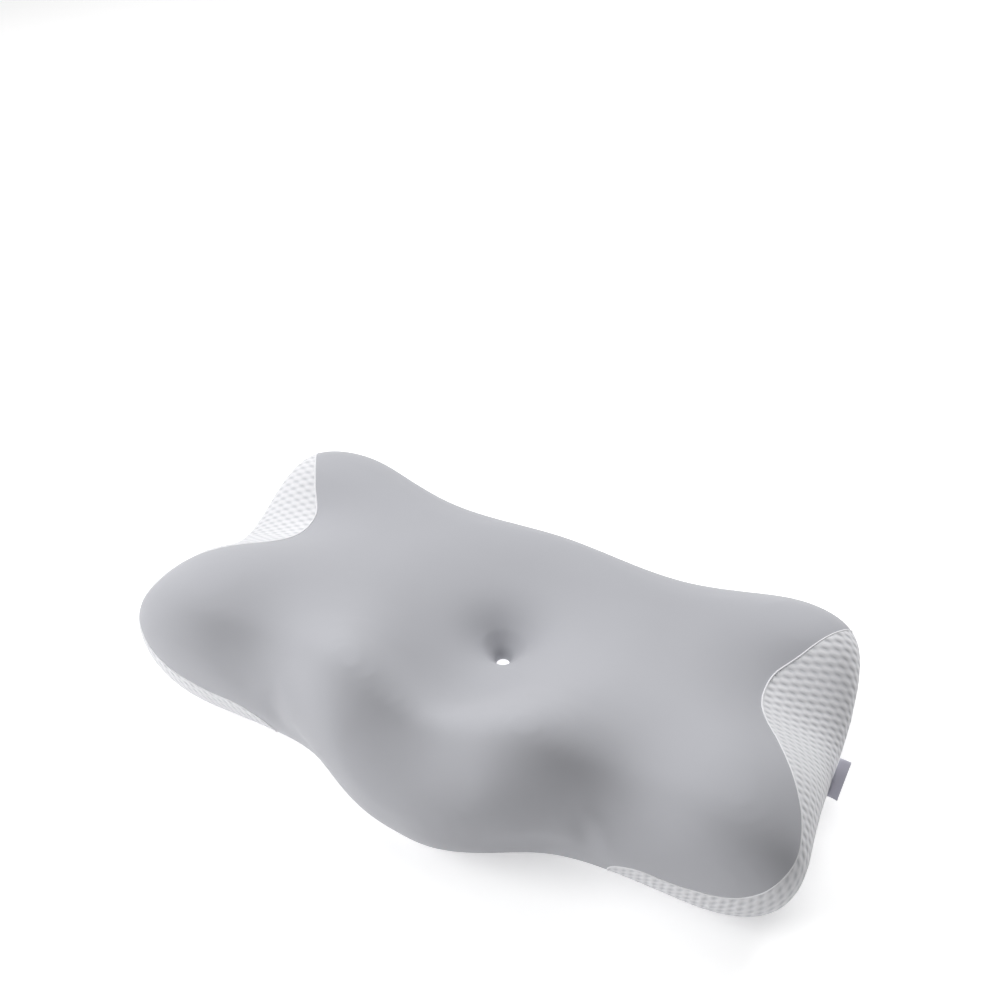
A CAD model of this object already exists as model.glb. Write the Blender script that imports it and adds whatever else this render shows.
import math

import bmesh
import bpy
import numpy as np
from mathutils import Matrix, Vector
from mathutils.bvhtree import BVHTree


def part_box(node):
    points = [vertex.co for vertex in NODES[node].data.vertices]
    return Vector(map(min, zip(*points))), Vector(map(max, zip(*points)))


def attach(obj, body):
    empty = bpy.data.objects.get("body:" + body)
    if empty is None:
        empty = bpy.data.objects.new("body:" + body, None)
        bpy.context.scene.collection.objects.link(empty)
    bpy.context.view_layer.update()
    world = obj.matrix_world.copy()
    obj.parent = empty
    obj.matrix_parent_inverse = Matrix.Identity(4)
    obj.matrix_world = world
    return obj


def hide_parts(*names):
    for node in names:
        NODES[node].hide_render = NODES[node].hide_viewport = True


bl_info = {
    "name": "Contoured Neck Pillow",
    "version": (1, 0, 0),
    "blender": (4, 5, 0),
    "location": "3D View > Sidebar > Neck Pillow",
    "description": "Builds a memory-foam neck pillow with its knitted cover, zip and studio",
    "category": "Object",
}

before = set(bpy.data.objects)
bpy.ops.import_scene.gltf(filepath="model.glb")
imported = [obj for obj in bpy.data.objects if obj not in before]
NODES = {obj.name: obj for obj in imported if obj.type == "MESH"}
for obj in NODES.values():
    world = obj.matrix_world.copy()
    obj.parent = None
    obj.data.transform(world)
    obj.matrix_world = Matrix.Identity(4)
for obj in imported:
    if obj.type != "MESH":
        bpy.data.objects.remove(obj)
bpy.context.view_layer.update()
MM = 0.001

# pieces of the cover, which share one skin and are cut from it along their seams
COVER = ("top_panel", "side_panel_right", "side_panel_left", "bottom_panel_front", "bottom_panel_rear")
SKIN_DEPTH = 2.6 * MM            # from the foam's face out to the cover's face
FOAM_DEPTH = 2.7                 # from the cover's face in to the foam's and the liner's faces, in mm
LINER_DEPTH = 2.0
BASE_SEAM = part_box("bottom_panel_rear")[1].z
HOLE_CENTRE = sum(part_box("hole_sleeve"), Vector()) / 2
ZIP_LINE = sum(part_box("zip_bottom_stop"), Vector()).y / 2
FUNNEL_TOP = 22.0 * MM           # where the funnel meets the top panel
VENT_CLEARANCE = 1.5 * MM        # from the funnel and the sleeve to the foam and the liner
CROWN_LOW = 25 * MM              # everything at the vent above this is the crown, and below it the foot
SLEEVE_RADIUS = 8.1 * MM
SLOT_HALF_WIDTH = 6.5 * MM       # slot in the base that the zip shows through
SLOT_HALF_LENGTH = 211 * MM
RECESS_HALF_WIDTH = 14 * MM      # groove in the foam and its liner that the zip lies in
RECESS_HALF_LENGTH = 219 * MM
RECESS_DEPTH = 6.5 * MM

made = {}


# ---------------------------------------------------------------- meshes
def new_object(name, mesh):
    piece = bpy.data.objects.new(name, mesh)
    bpy.context.scene.collection.objects.link(piece)
    return piece


def object_from(name, bm, smooth=True):
    """Object at the origin that holds a bmesh, which is freed."""
    mesh = bpy.data.meshes.new(name)
    bm.to_mesh(mesh)
    bm.free()
    mesh.shade_smooth() if smooth else mesh.shade_flat()
    return new_object(name, mesh)


def node_bmesh(name):
    """A CAD node's mesh with its loose corners merged."""
    bm = bmesh.new()
    bm.from_mesh(NODES[name].data)
    bmesh.ops.remove_doubles(bm, verts=bm.verts, dist=1e-6)
    return bm


def applied(piece):
    """Replaces a piece's mesh by what its modifiers make of it."""
    graph = bpy.context.evaluated_depsgraph_get()
    mesh = bpy.data.meshes.new_from_object(piece.evaluated_get(graph))
    piece.modifiers.clear()
    piece.data = mesh
    return piece


def cut_where_zero(bm, field, faces=None):
    """Cuts the faces along the line where the field of the vertices changes sign. Returns the new vertices."""
    faces = set(bm.faces if faces is None else faces)
    value = {v: field(v) for f in faces for v in f.verts}
    edges = {e for f in faces for e in f.edges}
    crossed = [e for e in edges if value[e.verts[0]] * value[e.verts[1]] < 0]
    percents = {}
    for edge in crossed:
        a, b = value[edge.verts[0]], value[edge.verts[1]]
        percents[edge] = min(max(a / (a - b), 0.04), 0.96)
    split = bmesh.ops.bisect_edges(bm, edges=crossed, cuts=1, edge_percents=percents)
    line = [g for g in split["geom_split"] if isinstance(g, bmesh.types.BMVert)]
    bmesh.ops.connect_verts(bm, verts=line)
    return line


def open_vent(bm, tunnel):
    """Cuts the vent's opening in the top and the foot of a soft piece, and joins them with a tunnel."""
    def from_axis(vertex):
        reach = (FUNNEL_TOP if vertex.co.z > CROWN_LOW else SLEEVE_RADIUS) + VENT_CLEARANCE
        return math.hypot(vertex.co.x - HOLE_CENTRE.x, vertex.co.y - HOLE_CENTRE.y) - reach

    cut_where_zero(bm, from_axis, [f for f in bm.faces if abs(from_axis(f.verts[0])) < 12 * MM])
    inner = [f for f in bm.faces if sum(min(from_axis(v), 0.2 * MM) for v in f.verts) < -1e-5]
    bmesh.ops.delete(bm, geom=inner, context="FACES")
    rims = [e for e in bm.edges if e.is_boundary and abs(from_axis(e.verts[0])) < 1.5 * MM]
    if tunnel:
        bmesh.ops.bridge_loops(bm, edges=rims)
        bmesh.ops.recalc_face_normals(bm, faces=bm.faces)


def raise_zip_recess(bm):
    """Lifts the base over the zip, so that the foam and its liner leave room for the chain and the slider."""
    centre = Vector((0, ZIP_LINE, 0))
    for direction, half in (((0, 1, 0), RECESS_HALF_WIDTH), ((1, 0, 0), RECESS_HALF_LENGTH)):
        for reach in (half, half - MM, -half, MM - half):
            low = [f for f in bm.faces if max(v.co.z for v in f.verts) < BASE_SEAM]
            parts = set(low) | {e for f in low for e in f.edges} | {v for f in low for v in f.verts}
            bmesh.ops.bisect_plane(
                bm, geom=list(parts), dist=1e-6, plane_no=direction,
                plane_co=centre + Vector(direction) * reach)
    for v in bm.verts:
        across = abs(v.co.y - ZIP_LINE) < RECESS_HALF_WIDTH - MM / 2
        along = abs(v.co.x) < RECESS_HALF_LENGTH - MM / 2
        if across and along and v.co.z < BASE_SEAM:
            v.co.z += RECESS_DEPTH


def numpy_points(mesh):
    points = np.zeros(len(mesh.vertices) * 3)
    mesh.vertices.foreach_get("co", points)
    return points.reshape(-1, 3)


# ---------------------------------------------------------------- soft skin
def soft_skin(settings):
    """Closed skin of the pillow: the foam, its groove and vent filled, remeshed and grown to the cover."""
    bm = node_bmesh("foam_core")
    half = Vector((223 * MM, 18 * MM, 5 * MM))
    place = Matrix.Translation((0, ZIP_LINE, SKIN_DEPTH + half.z)) @ Matrix.Diagonal((*(half * 2), 1))
    bmesh.ops.create_cube(bm, size=1, matrix=place)
    plug = HOLE_CENTRE.copy()
    plug.z = 34 * MM
    bmesh.ops.create_cone(
        bm, cap_ends=True, segments=32, radius1=13 * MM, radius2=13 * MM, depth=50 * MM,
        matrix=Matrix.Translation(plug))
    skin = object_from("skin", bm)
    remesh = skin.modifiers.new("Remesh", "REMESH")
    remesh.mode = "VOXEL"
    remesh.voxel_size = settings.voxel
    applied(skin)
    bm = bmesh.new()
    bm.from_mesh(skin.data)
    for _ in range(4):
        bmesh.ops.smooth_vert(bm, verts=bm.verts, factor=0.5, use_axis_x=True, use_axis_y=True, use_axis_z=True)
    bm.normal_update()
    for v in bm.verts:
        v.co += v.normal * SKIN_DEPTH
    bm.to_mesh(skin.data)
    bm.free()
    return skin


def relax_cloth(skin, settings):
    """Lets the skin settle as pressurised cloth for a few frames, with no point moving further than the cap."""
    before = numpy_points(skin.data)
    cloth = skin.modifiers.new("Cloth", "CLOTH")
    cloth.settings.use_pressure = True
    cloth.settings.uniform_pressure_force = settings.pressure
    cloth.settings.effector_weights.gravity = 0
    cloth.settings.quality = 5
    cloth.settings.tension_stiffness = 15
    cloth.settings.compression_stiffness = 15
    cloth.settings.bending_stiffness = 2
    cloth.point_cache.frame_start = 1
    cloth.point_cache.frame_end = 20
    for step in range(1, 21):
        bpy.context.scene.frame_set(step)
    applied(skin)
    bpy.context.scene.frame_set(1)
    after = numpy_points(skin.data)
    move = after - before
    far = np.linalg.norm(move, axis=1, keepdims=True)
    move *= np.minimum(1, settings.cloth_cap / np.maximum(far, 1e-9))
    after = before + move
    after[:, 2] = np.where(before[:, 2] < 1.5 * MM, before[:, 2], np.maximum(after[:, 2], 0))
    skin.data.vertices.foreach_set("co", after.ravel())
    bm = bmesh.new()
    bm.from_mesh(skin.data)
    lifted = [v for v in bm.verts if v.co.z > 1.5 * MM]
    for _ in range(8):
        bmesh.ops.smooth_vert(bm, verts=lifted, factor=0.5, use_axis_x=True, use_axis_y=True, use_axis_z=True)
    bm.to_mesh(skin.data)
    bm.free()


def nearest(name):
    bm = node_bmesh(name)
    tree = BVHTree.FromBMesh(bm)
    bm.free()
    return lambda point: tree.find_nearest(point)[3]


def end_field(side):
    """Signed distance to an end seam: negative on the end panel, positive on the rest of the cover."""
    inside, outside = nearest("side_panel_" + side), nearest("top_panel")
    sign = 1 if side == "right" else -1

    def field(vertex):
        if vertex.co.x * sign < 130 * MM:
            return 1.0
        if vertex.co.z < BASE_SEAM + 6 * MM and abs(vertex.co.x) > 190 * MM:
            return -1.0
        return inside(vertex.co) - outside(vertex.co)

    return field


def cut_panels(skin):
    """Cuts the skin along its seams. Returns a bmesh for each panel, and the points along each end seam."""
    bm = bmesh.new()
    bm.from_mesh(skin.data)
    lines = {}
    for side in ("right", "left"):
        line = cut_where_zero(bm, end_field(side))
        lines[side] = [v.co.copy() for v in line if v.co.z > BASE_SEAM]
    bmesh.ops.bisect_plane(
        bm, geom=bm.verts[:] + bm.edges[:] + bm.faces[:], dist=1e-6,
        plane_co=(0, 0, BASE_SEAM), plane_no=(0, 0, 1))

    def from_axis(vertex):
        reach = FUNNEL_TOP if vertex.co.z > 30 * MM else SLEEVE_RADIUS
        return math.hypot(vertex.co.x - HOLE_CENTRE.x, vertex.co.y - HOLE_CENTRE.y) - reach

    near_hole = [f for f in bm.faces if abs(from_axis(f.verts[0])) < 12 * MM]
    cut_where_zero(bm, from_axis, near_hole)
    slot_planes = (
        ((0, ZIP_LINE - SLOT_HALF_WIDTH, 0), (0, 1, 0)), ((0, ZIP_LINE + SLOT_HALF_WIDTH, 0), (0, 1, 0)),
        ((0, ZIP_LINE, 0), (0, 1, 0)),
        ((-SLOT_HALF_LENGTH, 0, 0), (1, 0, 0)), ((SLOT_HALF_LENGTH, 0, 0), (1, 0, 0)))
    for point, normal in slot_planes:
        low = [f for f in bm.faces if max(v.co.z for v in f.verts) < BASE_SEAM + 1e-5]
        parts = set(low) | {e for f in low for e in f.edges} | {v for f in low for v in f.verts}
        bmesh.ops.bisect_plane(bm, geom=list(parts), dist=1e-6, plane_co=point, plane_no=normal)
    right, left = end_field("right"), end_field("left")

    def panel_of(face):
        centre = face.calc_center_median()
        if math.hypot(centre.x - HOLE_CENTRE.x, centre.y - HOLE_CENTRE.y) < SLEEVE_RADIUS * 0.999:
            return None
        if centre.z > 30 * MM and math.hypot(centre.x, centre.y - HOLE_CENTRE.y) < FUNNEL_TOP * 0.999:
            return None
        if centre.z < BASE_SEAM:
            in_slot = abs(centre.y - ZIP_LINE) < SLOT_HALF_WIDTH and abs(centre.x) < SLOT_HALF_LENGTH
            if in_slot and centre.z < 5 * MM:
                return None
            return "bottom_panel_front" if centre.y < ZIP_LINE else "bottom_panel_rear"
        values = [right(v) for v in face.verts], [left(v) for v in face.verts]
        if sum(values[0]) < 0:
            return "side_panel_right"
        if sum(values[1]) < 0:
            return "side_panel_left"
        return "top_panel"

    owner = [panel_of(f) for f in bm.faces]
    panels = {}
    for name in COVER:
        part = bm.copy()
        part.faces.ensure_lookup_table()
        bmesh.ops.delete(part, geom=[f for f, o in zip(part.faces, owner) if o != name], context="FACES")
        panels[name] = part
    bm.free()
    return panels, lines


def loop_in_order(points):
    """Points of an open line put in order, from the end nearest the neck side's foot."""
    left = list(points)
    current = min(left, key=lambda p: p.z * 2 + p.y)
    ordered = [current]
    left.remove(current)
    while left:
        current = min(left, key=lambda p: (p - ordered[-1]).length_squared)
        if (current - ordered[-1]).length > 14 * MM:
            break
        ordered.append(current)
        left.remove(current)
    return ordered


# ---------------------------------------------------------------- materials
def linear(hex_colour):
    """sRGB hex to linear red, green, blue and alpha."""
    parts = [int(hex_colour[i:i + 2], 16) / 255 for i in (1, 3, 5)]
    return (*(c / 12.92 if c <= 0.04045 else ((c + 0.055) / 1.055) ** 2.4 for c in parts), 1.0)


def node(tree, kind, inputs=None, **settings):
    """Adds a shader node, sets its properties, and fills its inputs with values or other nodes' outputs."""
    added = tree.nodes.new(kind)
    for key, value in settings.items():
        setattr(added, key, value)
    for key, value in (inputs or {}).items():
        if isinstance(value, bpy.types.NodeSocket):
            tree.links.new(value, added.inputs[key])
        else:
            added.inputs[key].default_value = value
    return added


def base_material(name, colour, roughness, sheen=0.0, sheen_roughness=0.5, metallic=0.0):
    material = bpy.data.materials.new(name)
    material.use_nodes = True
    shader = material.node_tree.nodes["Principled BSDF"]
    shader.inputs["Base Color"].default_value = linear(colour)
    shader.inputs["Roughness"].default_value = roughness
    shader.inputs["Metallic"].default_value = metallic
    if sheen:
        shader.inputs["Sheen Weight"].default_value = sheen
        shader.inputs["Sheen Roughness"].default_value = sheen_roughness
    return material, material.node_tree, shader


def maths(tree, operation, a, b=None):
    inputs = {0: a} if b is None else {0: a, 1: b}
    return node(tree, "ShaderNodeMath", inputs, operation=operation).outputs[0]


def bump(tree, shader, height, distance, strength=1.0, under=None):
    inputs = {"Height": height, "Distance": distance, "Strength": strength}
    if under is not None:
        inputs["Normal"] = under
    added = node(tree, "ShaderNodeBump", inputs)
    tree.links.new(added.outputs["Normal"], shader.inputs["Normal"])
    return added.outputs["Normal"]


def stretch_knit(name, colour, wale_mm):
    """Fine polyester-elastane jersey, circular knitted: matt, with a faint sheen and hardly any grain."""
    material, tree, shader = base_material(name, colour, 0.85, sheen=0.25, sheen_roughness=0.45)
    shader.inputs["Specular IOR Level"].default_value = 0.2
    place = node(tree, "ShaderNodeTexCoord").outputs["Object"]
    # loops are 0.5 mm across, too fine to show, so the grain is drawn at the wale spacing
    fine = node(tree, "ShaderNodeTexNoise", {"Vector": place, "Scale": 1 / (wale_mm * MM), "Detail": 2.0})
    cloudy = node(tree, "ShaderNodeTexNoise", {"Vector": place, "Scale": 1 / (34 * MM), "Detail": 3.0})
    tint = node(tree, "ShaderNodeMix", {
        0: maths(tree, "MULTIPLY", cloudy.outputs["Fac"], 0.35), 6: linear(colour), 7: linear("#aeaeb4")},
        data_type="RGBA")
    tree.links.new(tint.outputs[2], shader.inputs["Base Color"])
    bump(tree, shader, fine.outputs["Fac"], 0.12 * MM, 0.5)
    return material


def bubble_knit(name, colour, across_mm, along_mm, height_mm, vector_from_uv=True):
    """White spacer knit: matt padded oval bubbles in staggered rows, with narrow shaded valleys between."""
    material, tree, shader = base_material(name, colour, 0.9, sheen=0.15, sheen_roughness=0.5)
    shader.inputs["Specular IOR Level"].default_value = 0.2
    coords = node(tree, "ShaderNodeTexCoord").outputs["UV" if vector_from_uv else "Object"]
    split = node(tree, "ShaderNodeSeparateXYZ", {0: coords})
    u = maths(tree, "MULTIPLY", split.outputs[0], 2 * math.pi / (across_mm * MM))
    v = maths(tree, "MULTIPLY", split.outputs[1], 2 * math.pi / (along_mm * MM))
    first = maths(tree, "COSINE", maths(tree, "ADD", u, v))
    second = maths(tree, "COSINE", maths(tree, "SUBTRACT", u, v))
    mound = maths(tree, "MULTIPLY", maths(tree, "ADD", maths(tree, "ADD", first, second), 2.0), 0.25)
    dome = maths(tree, "POWER", mound, 0.7)
    valley = node(tree, "ShaderNodeMapRange", {
        0: dome, 1: 0.15, 2: 0.75, 3: 1.0, 4: 0.0})
    tint = node(tree, "ShaderNodeMix", {
        0: valley.outputs[0], 6: linear(colour), 7: linear("#cdced2")}, data_type="RGBA")
    tree.links.new(tint.outputs[2], shader.inputs["Base Color"])
    place = node(tree, "ShaderNodeTexCoord").outputs["Object"]
    fine = node(tree, "ShaderNodeTexNoise", {"Vector": place, "Scale": 1 / (0.9 * MM), "Detail": 2.0})
    grain = node(tree, "ShaderNodeBump", {
        "Height": fine.outputs["Fac"], "Distance": 0.15 * MM, "Strength": 0.4})
    bump(tree, shader, dome, height_mm * MM, 1.0, under=grain.outputs["Normal"])
    return material


def plain_cloth(name, colour, thread_mm=0.8, roughness=0.85):
    """Plain woven or knitted tape: matt, with a fine regular rib."""
    material, tree, shader = base_material(name, colour, roughness, sheen=0.1)
    place = node(tree, "ShaderNodeTexCoord").outputs["Object"]
    rib = node(tree, "ShaderNodeTexNoise", {"Vector": place, "Scale": 1 / (thread_mm * MM), "Detail": 1.0})
    bump(tree, shader, rib.outputs["Fac"], 0.15 * MM, 0.5)
    return material


def sleeve_jersey(name, colour):
    """Thin white jersey that daylight passes through, so the sleeve looks lit from behind."""
    material, tree, shader = base_material(name, colour, 0.8)
    shader.inputs["Emission Color"].default_value = (1, 1, 1, 1)
    shader.inputs["Emission Strength"].default_value = 0.28
    return material


def cast_enamel(name, colour):
    """Zinc casting under white enamel: smooth and glossy with rounded edges."""
    material, tree, shader = base_material(name, colour, 0.32)
    shader.inputs["Coat Weight"].default_value = 0.3
    return material


def coil_nylon(name, colour, pitch_mm):
    """Coil of nylon monofilament: satin white turns side by side, with a shaded groove between each two."""
    material, tree, shader = base_material(name, colour, 0.4)
    place = node(tree, "ShaderNodeTexCoord").outputs["Object"]
    along = node(tree, "ShaderNodeSeparateXYZ", {0: place}).outputs[0]
    turn = maths(tree, "COSINE", maths(tree, "MULTIPLY", along, 2 * math.pi / (pitch_mm * MM)))
    groove = node(tree, "ShaderNodeMapRange", {0: turn, 1: -1.0, 2: 0.1, 3: 1.0, 4: 0.0})
    tint = node(tree, "ShaderNodeMix", {
        0: groove.outputs[0], 6: linear(colour), 7: linear("#8f9095")}, data_type="RGBA")
    tree.links.new(tint.outputs[2], shader.inputs["Base Color"])
    bump(tree, shader, turn, 0.35 * MM)
    shader.inputs["Subsurface Weight"].default_value = 0.2
    shader.inputs["Subsurface Radius"].default_value = (0.8 * MM, 0.8 * MM, 0.8 * MM)
    return material


def memory_foam(name, colour):
    """Moulded open-cell polyurethane: matt cream with fine pores."""
    material, tree, shader = base_material(name, colour, 0.95)
    place = node(tree, "ShaderNodeTexCoord").outputs["Object"]
    pores = node(tree, "ShaderNodeTexVoronoi", {"Vector": place, "Scale": 1 / (1.2 * MM)})
    bump(tree, shader, pores.outputs["Distance"], 0.3 * MM, 0.6)
    return material


def wear(piece, material):
    piece.data.materials.clear()
    piece.data.materials.append(material)
    return piece


# ---------------------------------------------------------------- finished pieces
def unwrap_in_metres(piece):
    """Gives a panel a UV map in metres, its V axis pointing up the panel."""
    for other in bpy.context.selected_objects:
        other.select_set(False)
    bpy.context.view_layer.objects.active = piece
    piece.select_set(True)
    bpy.ops.object.mode_set(mode="EDIT")
    bpy.ops.mesh.select_all(action="SELECT")
    bpy.ops.uv.unwrap(method="ANGLE_BASED", margin=0.0)
    bpy.ops.object.mode_set(mode="OBJECT")
    piece.select_set(False)
    mesh = piece.data
    layer = mesh.uv_layers.active
    uv = np.zeros(len(mesh.loops) * 2)
    layer.uv.foreach_get("vector", uv)
    uv = uv.reshape(-1, 2)
    corner = np.zeros(len(mesh.loops), np.int32)
    mesh.loops.foreach_get("vertex_index", corner)
    points = numpy_points(mesh)[corner]
    centred = uv - uv.mean(0)
    height = points[:, 2] - points[:, 2].mean()
    up = np.linalg.lstsq(centred, height, rcond=None)[0]
    turn = math.atan2(up[0], up[1])
    c, s = math.cos(turn), math.sin(turn)
    turned = centred @ np.array([[c, s], [-s, c]])
    area_uv = 0.0
    for face in mesh.polygons:
        ring = turned[face.loop_start:face.loop_start + face.loop_total]
        nxt = np.roll(ring, -1, axis=0)
        area_uv += abs(float((ring[:, 0] * nxt[:, 1] - nxt[:, 0] * ring[:, 1]).sum())) / 2
    area = sum(face.area for face in mesh.polygons)
    turned *= math.sqrt(area / area_uv)
    layer.uv.foreach_set("vector", turned.ravel())


def tube_along(name, points, radius, sides=10):
    """Closed-ended tube of a radius along a line of points, as a mesh."""
    curve = bpy.data.curves.new(name, "CURVE")
    curve.dimensions = "3D"
    spline = curve.splines.new("POLY")
    spline.points.add(len(points) - 1)
    for target, point in zip(spline.points, points):
        target.co = (*point, 1)
    curve.bevel_depth = radius
    curve.bevel_resolution = max(1, sides // 4)
    curve.use_fill_caps = True
    holder = new_object(name + "_line", curve)
    graph = bpy.context.evaluated_depsgraph_get()
    mesh = bpy.data.meshes.new_from_object(holder.evaluated_get(graph))
    bpy.data.objects.remove(holder)
    mesh.shade_smooth()
    return new_object(name, mesh)


def evened(points, spacing, rounds=6):
    """Line of points smoothed a little and spaced evenly."""
    line = [p.copy() for p in points]
    for _ in range(rounds):
        line = [line[0]] + [(a + b * 2 + c) / 4 for a, b, c in zip(line, line[1:], line[2:])] + [line[-1]]
    result = [line[0]]
    for point in line[1:]:
        while (point - result[-1]).length > spacing:
            result.append(result[-1] + (point - result[-1]).normalized() * spacing)
    return result


# ---------------------------------------------------------------- settings
class CoverSettings(bpy.types.PropertyGroup):
    voxel: bpy.props.FloatProperty(
        name="Skin grid", description="Grid the skin is remeshed on", default=0.0045, min=0.003, max=0.01,
        subtype="DISTANCE", unit="LENGTH")
    pressure: bpy.props.FloatProperty(
        name="Pressure", description="Pressure that fills the cover while it settles", default=3.0, min=0,
        max=10)
    cloth_cap: bpy.props.FloatProperty(
        name="Settling cap", description="Furthest a point of the cover may settle", default=0.002,
        subtype="DISTANCE", unit="LENGTH")
    bubble_across: bpy.props.FloatProperty(
        name="Bubble spacing across", description="Spacing of the bubbles along a row, in mm", default=7.5)
    bubble_along: bpy.props.FloatProperty(
        name="Bubble spacing up", description="Spacing of every second row, in mm", default=19.5)
    grey: bpy.props.StringProperty(
        name="Grey knit", description="sRGB hex of the grey knit", default="#b2b3b8")
    white: bpy.props.StringProperty(
        name="White knit", description="sRGB hex of the white knit", default="#e5e5e8")


class SeamSettings(bpy.types.PropertyGroup):
    radius: bpy.props.FloatProperty(
        name="Edge radius", description="Radius of the rolled seam edge", default=0.0008, subtype="DISTANCE",
        unit="LENGTH")
    label: bpy.props.StringProperty(name="Label", description="sRGB hex of the label tape", default="#c6c5d2")
    label_length: bpy.props.FloatProperty(
        name="Label length", description="Length of the label tape along its seam", default=0.0355,
        subtype="DISTANCE", unit="LENGTH")


class StageSettings(bpy.types.PropertyGroup):
    azimuth: bpy.props.FloatProperty(
        name="Azimuth", description="Camera's turn round the pillow, degrees", default=26.33)
    elevation: bpy.props.FloatProperty(
        name="Elevation", description="Camera's height angle, degrees", default=49.8)
    distance: bpy.props.FloatProperty(
        name="Distance", description="Camera's distance from the aim point", default=1.0775, subtype="DISTANCE",
        unit="LENGTH")
    lens: bpy.props.FloatProperty(name="Lens", description="Focal length in mm on a 36 mm sensor", default=42.7)
    floor: bpy.props.StringProperty(name="Floor", description="sRGB hex of the floor", default="#ffffff")


# ---------------------------------------------------------------- steps
class PILLOW_OT_foam(bpy.types.Operator):
    """Settle the padded skin, then make the moulded foam core and the two halves of its liner inside it"""
    bl_idname = "pillow.foam"
    bl_label = "Foam Core and Liner"

    def execute(self, context):
        settings = context.scene.pillow_cover
        skin = soft_skin(settings)
        relax_cloth(skin, settings)
        made["skin"] = skin
        foam = memory_foam("moulded memory foam", "#f0ece0")
        jersey = plain_cloth("liner jersey", "#f2f2f3", 0.6)
        inner = (("foam_core", FOAM_DEPTH, foam), ("liner_top", LINER_DEPTH, jersey),
                 ("liner_bottom", LINER_DEPTH, jersey))
        for name, depth, material in inner:
            bm = bmesh.new()
            bm.from_mesh(skin.data)
            bm.normal_update()
            for v in bm.verts:
                v.co -= v.normal * depth * MM
            open_vent(bm, name == "foam_core")
            raise_zip_recess(bm)
            if name != "foam_core":
                low = name == "liner_bottom"
                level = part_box("liner_top")[0].z
                bmesh.ops.bisect_plane(
                    bm, geom=bm.verts[:] + bm.edges[:] + bm.faces[:], dist=1e-6, plane_co=(0, 0, level),
                    plane_no=(0, 0, 1), clear_outer=low, clear_inner=not low)
            piece = object_from(name + "_soft", bm)
            wear(piece, material)
            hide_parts(name)
            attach(piece, "pillow")
            made[name] = piece
        return {"FINISHED"}


PANEL_NAMES = {
    "top_panel": "grey_top_panel", "side_panel_right": "white_end_right", "side_panel_left": "white_end_left",
    "bottom_panel_front": "base_front", "bottom_panel_rear": "base_rear"}


class PILLOW_OT_cover(bpy.types.Operator):
    """Cut the knitted cover from the settled skin: grey top, white ends and the two base panels"""
    bl_idname = "pillow.cover"
    bl_label = "Knitted Cover"

    def execute(self, context):
        settings = context.scene.pillow_cover
        panels, made["lines"] = cut_panels(made["skin"])
        bm = bmesh.new()
        bm.from_mesh(made["skin"].data)
        tree = BVHTree.FromBMesh(bm)
        bm.free()
        made["crown"] = lambda x, y: tree.ray_cast(Vector((x, y, 0.3)), Vector((0, 0, -1)))[0].z
        grey = stretch_knit("grey stretch jersey", settings.grey, 0.9)
        bubbles = bubble_knit(
            "white bubble spacer knit", settings.white, settings.bubble_across, settings.bubble_along, 1.1)
        base = bubble_knit(
            "white base spacer knit", settings.white, settings.bubble_across, settings.bubble_along, 1.0, False)
        cloths = {"top_panel": grey, "side_panel_right": bubbles, "side_panel_left": bubbles,
                  "bottom_panel_front": base, "bottom_panel_rear": base}
        for name, bm in panels.items():
            bmesh.ops.remove_doubles(bm, verts=bm.verts, dist=0.15 * MM)
            piece = object_from(PANEL_NAMES[name], bm)
            if name.startswith("side"):
                unwrap_in_metres(piece)
            wear(piece, cloths[name])
            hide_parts(name)
            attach(piece, "pillow")
            smooth = piece.modifiers.new("Subdivision", "SUBSURF")
            smooth.levels = smooth.render_levels = 1
            smooth.boundary_smooth = "PRESERVE_CORNERS"
            made[name] = piece
        bpy.data.objects.remove(made.pop("skin"))
        return {"FINISHED"}


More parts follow.
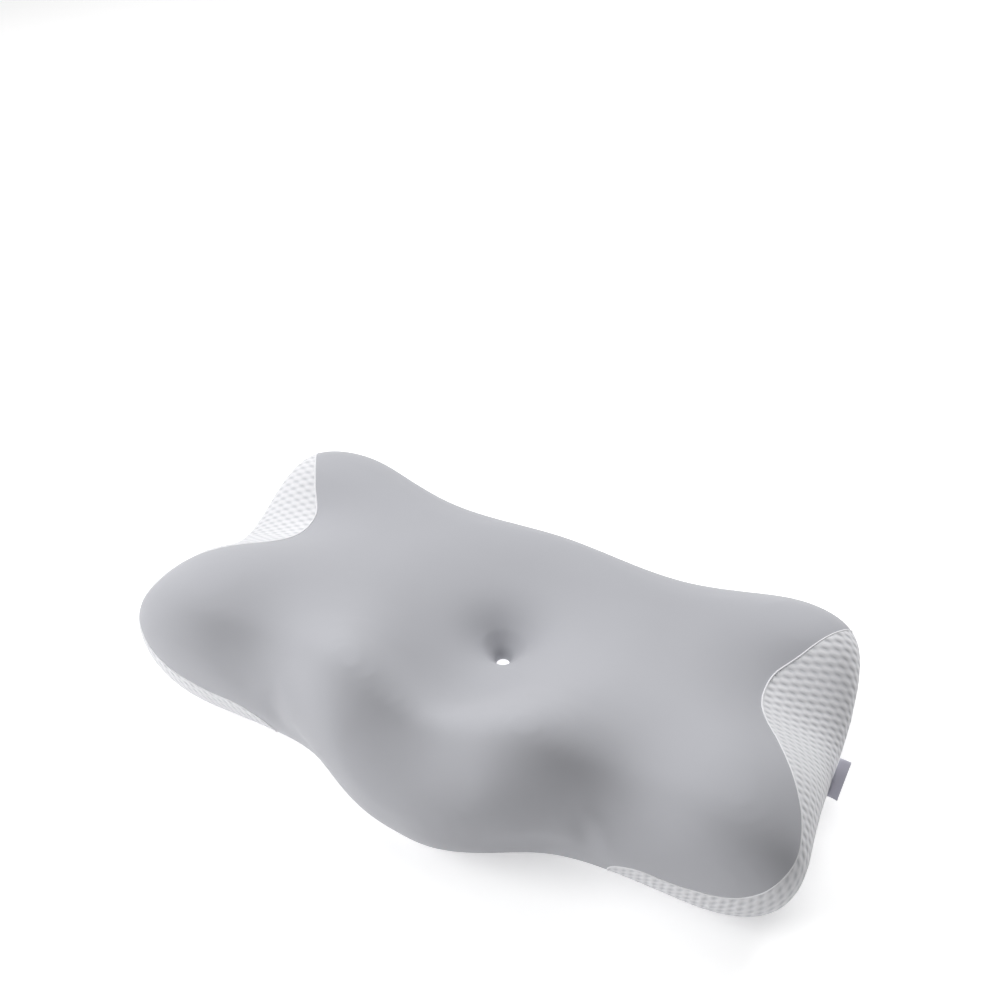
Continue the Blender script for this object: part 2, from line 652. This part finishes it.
class PILLOW_OT_sleeve(bpy.types.Operator):
    """Spin the grey funnel in the top panel, and the white sleeve that lines the hole under it"""
    bl_idname = "pillow.sleeve"
    bl_label = "Vent Funnel and Sleeve"

    def execute(self, context):
        crown = made["crown"]
        foot_of_funnel = crown(HOLE_CENTRE.x + 16 * MM, HOLE_CENTRE.y) / MM - 19
        # radius and how far below the crown the cloth has turned down there
        turned = [(6.3, 19.8), (6.35, 18.4), (6.6, 16.6), (7.1, 14.4), (8.1, 11.6), (9.6, 8.8), (11.6, 6.1),
                  (14.0, 3.7), (16.4, 1.8), (18.6, 0.65), (20.4, 0.12), (21.4, 0.0), (22.0, 0.0), (22.6, 0.04)]
        funnel = [(radius, 60 - down) for radius, down in turned]
        sleeve = [(7.9, 0.1), (7.3, 0.4), (6.8, 1.2), (6.6, 3.0), (6.5, 10), (6.5, 20), (6.4, foot_of_funnel)]
        for name, profile, material, slot in (
                ("vent_funnel", funnel, made["top_panel"].data.materials[0], "grey_knit"),
                ("vent_sleeve", sleeve, sleeve_jersey("white sleeve jersey", "#fafafc"), "white_knit")):
            bm = bmesh.new()
            verts = [bm.verts.new((r * MM, HOLE_CENTRE.y, z * MM)) for r, z in profile]
            edges = [bm.edges.new(pair) for pair in zip(verts, verts[1:])]
            bmesh.ops.spin(
                bm, geom=verts + edges, cent=(0, HOLE_CENTRE.y, 0), axis=(0, 0, 1), angle=2 * math.pi, steps=64,
                use_merge=True)
            bmesh.ops.remove_doubles(bm, verts=bm.verts, dist=1e-6)
            if name == "vent_funnel":
                for v in bm.verts:
                    away = Vector((v.co.x - HOLE_CENTRE.x, v.co.y - HOLE_CENTRE.y))
                    away *= max(1.0, 15 * MM / away.length)
                    v.co.z += crown(HOLE_CENTRE.x + away.x, HOLE_CENTRE.y + away.y) - 60 * MM
            bmesh.ops.recalc_face_normals(bm, faces=bm.faces)
            if sum((f.calc_center_median() - HOLE_CENTRE).xy.dot(f.normal.xy) for f in bm.faces) > 0:
                bmesh.ops.reverse_faces(bm, faces=bm.faces)
            piece = object_from(name, bm)
            wear(piece, material)
            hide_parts("hole_sleeve")
            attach(piece, "pillow")
            made[name] = piece
        return {"FINISHED"}


class PILLOW_OT_seams(bpy.types.Operator):
    """Roll the smooth white edge along both end seams"""
    bl_idname = "pillow.seams"
    bl_label = "Rolled Seam Edges"

    def execute(self, context):
        settings = context.scene.pillow_seams
        material = plain_cloth("white seam binding", "#e9e9ec", 0.7)
        for side in ("right", "left"):
            line = evened(loop_in_order(made["lines"][side]), 3 * MM)
            piece = tube_along("seam_edge_" + side, line, settings.radius)
            wear(piece, material)
            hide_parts("seam_welt_" + side)
            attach(piece, "pillow")
            made["seam_" + side] = piece
        return {"FINISHED"}


class PILLOW_OT_label(bpy.types.Operator):
    """Fold the blank label tape that stands out of the right end"""
    bl_idname = "pillow.label"
    bl_label = "Label Tab"

    def execute(self, context):
        settings = context.scene.pillow_seams
        low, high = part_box("label_tab")
        thick, gap, reach = 0.3 * MM, 0.35 * MM, 10 * MM
        fold = reach - gap - thick
        outline = [(x, gap + thick / 2) for x in (0, reach * 0.3, reach * 0.6, fold)]
        for step in range(1, 6):
            angle = math.pi / 2 - math.pi * step / 6
            outline.append((fold + (gap + thick / 2) * math.cos(angle), (gap + thick / 2) * math.sin(angle)))
        outline += [(x, -gap - thick / 2) for x in (fold, reach * 0.6, reach * 0.3, 0)]
        bm = bmesh.new()
        verts = [bm.verts.new((x, y, 0)) for x, y in outline]
        edges = [bm.edges.new(pair) for pair in zip(verts, verts[1:])]
        grown = bmesh.ops.extrude_edge_only(bm, edges=edges)
        moved = [g for g in grown["geom"] if isinstance(g, bmesh.types.BMVert)]
        bmesh.ops.translate(bm, verts=moved, vec=(0, 0, settings.label_length))
        long_edges = [e for e in bm.edges if abs(e.verts[0].co.z - e.verts[1].co.z) > 10 * MM]
        bmesh.ops.subdivide_edges(bm, edges=long_edges, cuts=10)
        for v in bm.verts:
            v.co.z -= settings.label_length / 2
            out = v.co.x / reach
            v.co.y += (1.3 * math.sin(v.co.z * 130 + 0.6) - 1.6) * out * out * MM
        bmesh.ops.recalc_face_normals(bm, faces=bm.faces)
        bmesh.ops.solidify(bm, geom=bm.faces[:], thickness=thick)
        root = Vector((high.x - reach - 2.5 * MM, (low.y + high.y) / 2, (low.z + high.z) / 2))
        lean = Matrix.Rotation(-math.radians(33), 4, "X")
        bmesh.ops.transform(bm, verts=bm.verts, matrix=Matrix.Translation(root) @ lean)
        bmesh.ops.recalc_face_normals(bm, faces=bm.faces)
        piece = object_from("label_tape", bm)
        wear(piece, plain_cloth("woven label satin", settings.label, 0.4, 0.6))
        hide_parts("label_tab")
        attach(piece, "pillow")
        made["label"] = piece
        return {"FINISHED"}


class PILLOW_OT_zip(bpy.types.Operator):
    """Finish the zip on the underside: tapes, coils, stops, slider and pull tab"""
    bl_idname = "pillow.zip"
    bl_label = "Zip"

    def execute(self, context):
        tape = plain_cloth("woven zip tape", "#d9d9dc", 0.5)
        coil = coil_nylon("nylon coil", "#f0f0f1", 1.5)
        cast = cast_enamel("white enamelled zinc", "#e2e2e3")
        for name in ("zip_tape_front", "zip_tape_rear"):
            piece = object_from(name + "_woven", node_bmesh(name))
            edge = piece.modifiers.new("Bevel", "BEVEL")
            edge.width = 0.2 * MM
            edge.segments = 2
            edge.limit_method = "ANGLE"
            wear(piece, tape)
            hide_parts(name)
            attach(piece, "pillow")
        for name in ("zip_coil_front", "zip_coil_rear"):
            wear(NODES[name], coil)
        for name in ("zip_bottom_stop", "zip_top_stop_front", "zip_top_stop_rear"):
            wear(NODES[name], cast)
        for name, body in (("zip_slider", "slider"), ("zip_pull_tab", "pull")):
            piece = object_from(name + "_cast", node_bmesh(name))
            edge = piece.modifiers.new("Bevel", "BEVEL")
            edge.width = 0.18 * MM
            edge.segments = 2
            edge.limit_method = "ANGLE"
            wear(piece, cast)
            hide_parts(name)
            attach(piece, body)
        return {"FINISHED"}


class PILLOW_OT_stage(bpy.types.Operator):
    """Set the white floor, the soft studio light and the camera"""
    bl_idname = "pillow.stage"
    bl_label = "Studio"

    def execute(self, context):
        settings = context.scene.pillow_stage
        bm = bmesh.new()
        bmesh.ops.create_grid(bm, x_segments=1, y_segments=1, size=6.0)
        floor = object_from("floor", bm, smooth=False)
        material, tree, shader = base_material("white studio floor", settings.floor, 0.9)
        shader.inputs["Specular IOR Level"].default_value = 0.0
        shader.inputs["Emission Color"].default_value = (1, 1, 1, 1)
        shader.inputs["Emission Strength"].default_value = 0.3
        wear(floor, material)
        world = bpy.data.worlds.new("studio")
        context.scene.world = world
        world.use_nodes = True
        world.node_tree.nodes["Background"].inputs["Color"].default_value = (1, 1, 1, 1)
        world.node_tree.nodes["Background"].inputs["Strength"].default_value = 0.04
        lights = (
            ("left front", (-1.4, -1.0, 1.2), 1.4, 28.0),
            ("rear", (0.3, 1.7, 1.3), 1.2, 25.0),
            ("overhead", (0, 0, 2.2), 1.5, 14.0),
            ("left rear", (-1.1, 0.7, 1.5), 1.0, 7.0),
            ("right rear", (1.6, 0.9, 1.4), 1.2, 3.0),
        )
        for name, place, size, watts in lights:
            lamp = bpy.data.lights.new(name, "AREA")
            lamp.shape = "SQUARE"
            lamp.size = size
            lamp.energy = watts
            holder = new_object(name, lamp)
            holder.location = place
            aim = Vector((0, 0, 0.05)) - holder.location
            holder.rotation_euler = aim.to_track_quat("-Z", "Y").to_euler()
        a, e = math.radians(settings.azimuth), math.radians(settings.elevation)
        back = Vector((math.sin(a) * math.cos(e), -math.cos(a) * math.cos(e), math.sin(e)))
        camera = bpy.data.cameras.new("camera")
        camera.lens = settings.lens
        camera.sensor_width = 36
        camera.shift_x = 0.0017
        camera.shift_y = 0.1744
        view = new_object("camera", camera)
        view.location = Vector((0, 0, 0.045)) + back * settings.distance
        view.rotation_euler = (back.to_track_quat("Z", "Y")).to_euler()
        context.scene.camera = view
        context.scene.view_settings.view_transform = "Standard"
        return {"FINISHED"}


class PILLOW_PT_pieces(bpy.types.Panel):
    bl_idname = "PILLOW_PT_pieces"
    bl_label = "Neck Pillow"
    bl_space_type = "VIEW_3D"
    bl_region_type = "UI"
    bl_category = "Neck Pillow"

    def draw(self, context):
        for name in ("pillow_cover", "pillow_seams", "pillow_stage"):
            group = getattr(context.scene, name)
            box = self.layout.box()
            for key in group.__annotations__:
                box.prop(group, key)
        for step in STEPS:
            self.layout.operator(step.bl_idname)


GROUPS = {"pillow_cover": CoverSettings, "pillow_seams": SeamSettings, "pillow_stage": StageSettings}
STEPS = (PILLOW_OT_foam, PILLOW_OT_cover, PILLOW_OT_sleeve, PILLOW_OT_seams, PILLOW_OT_label, PILLOW_OT_zip,
         PILLOW_OT_stage)


def register():
    for cls in (*GROUPS.values(), *STEPS, PILLOW_PT_pieces):
        bpy.utils.register_class(cls)
    for name, group in GROUPS.items():
        setattr(bpy.types.Scene, name, bpy.props.PointerProperty(type=group))


def unregister():
    for name in GROUPS:
        delattr(bpy.types.Scene, name)
    for cls in reversed((*GROUPS.values(), *STEPS, PILLOW_PT_pieces)):
        bpy.utils.unregister_class(cls)


def main():
    register()
    for step in STEPS:
        group, name = step.bl_idname.split(".")
        getattr(getattr(bpy.ops, group), name)()


if __name__ == "__main__":
    main()
